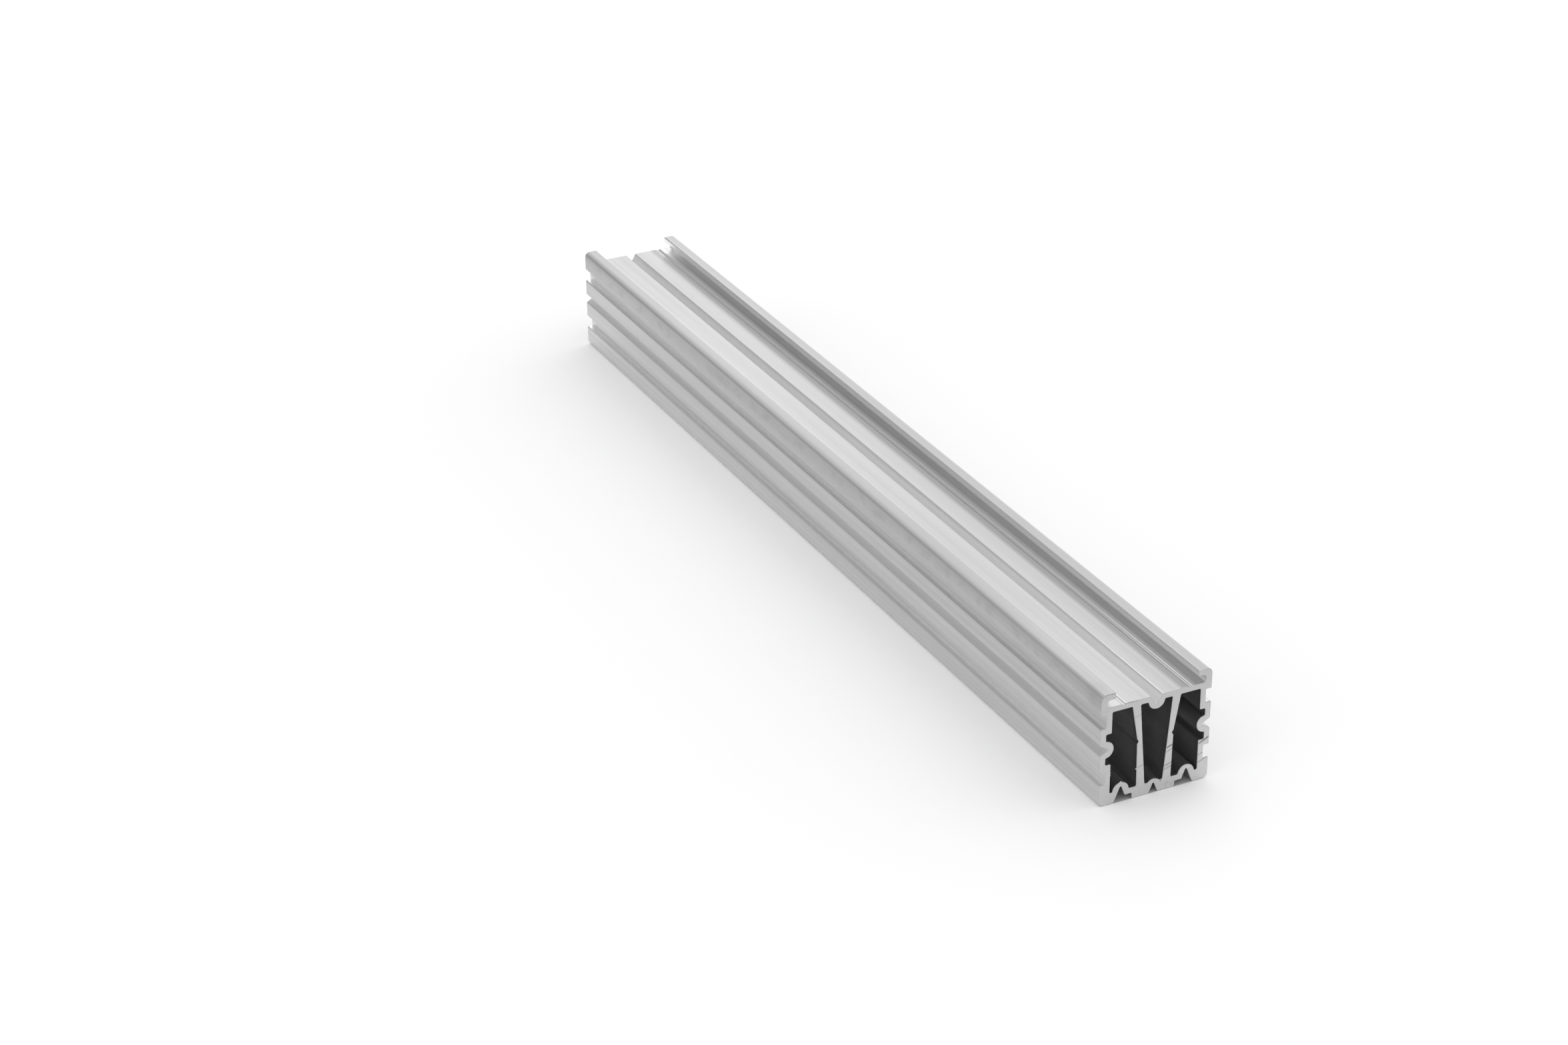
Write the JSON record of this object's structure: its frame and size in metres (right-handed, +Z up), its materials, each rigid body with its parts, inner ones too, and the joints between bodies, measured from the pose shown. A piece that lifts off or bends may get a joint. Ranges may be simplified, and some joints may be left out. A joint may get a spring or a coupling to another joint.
{
  "type": "aluminium extrusion profile",
  "caption": "Sawn length of square hollow aluminium bar with a lipped channel along its top, square grooves in its sides, drill grooves backed by bosses, and slanting webs inside.",
  "frame": {"origin": "middle of the base, halfway along the bar", "axes": "+X along the bar, towards the end shown in the picture; +Y across the bar; +Z up, out of the lipped channel"},
  "size_m": [0.4, 0.04, 0.04],
  "materials": {
    "mill_aluminium": "mill finish with fine lengthwise die lines, saw-cut ends"
  },
  "bodies": {
    "root": {"profile_bar": "mill_aluminium"}
  },
  "joints": []
}
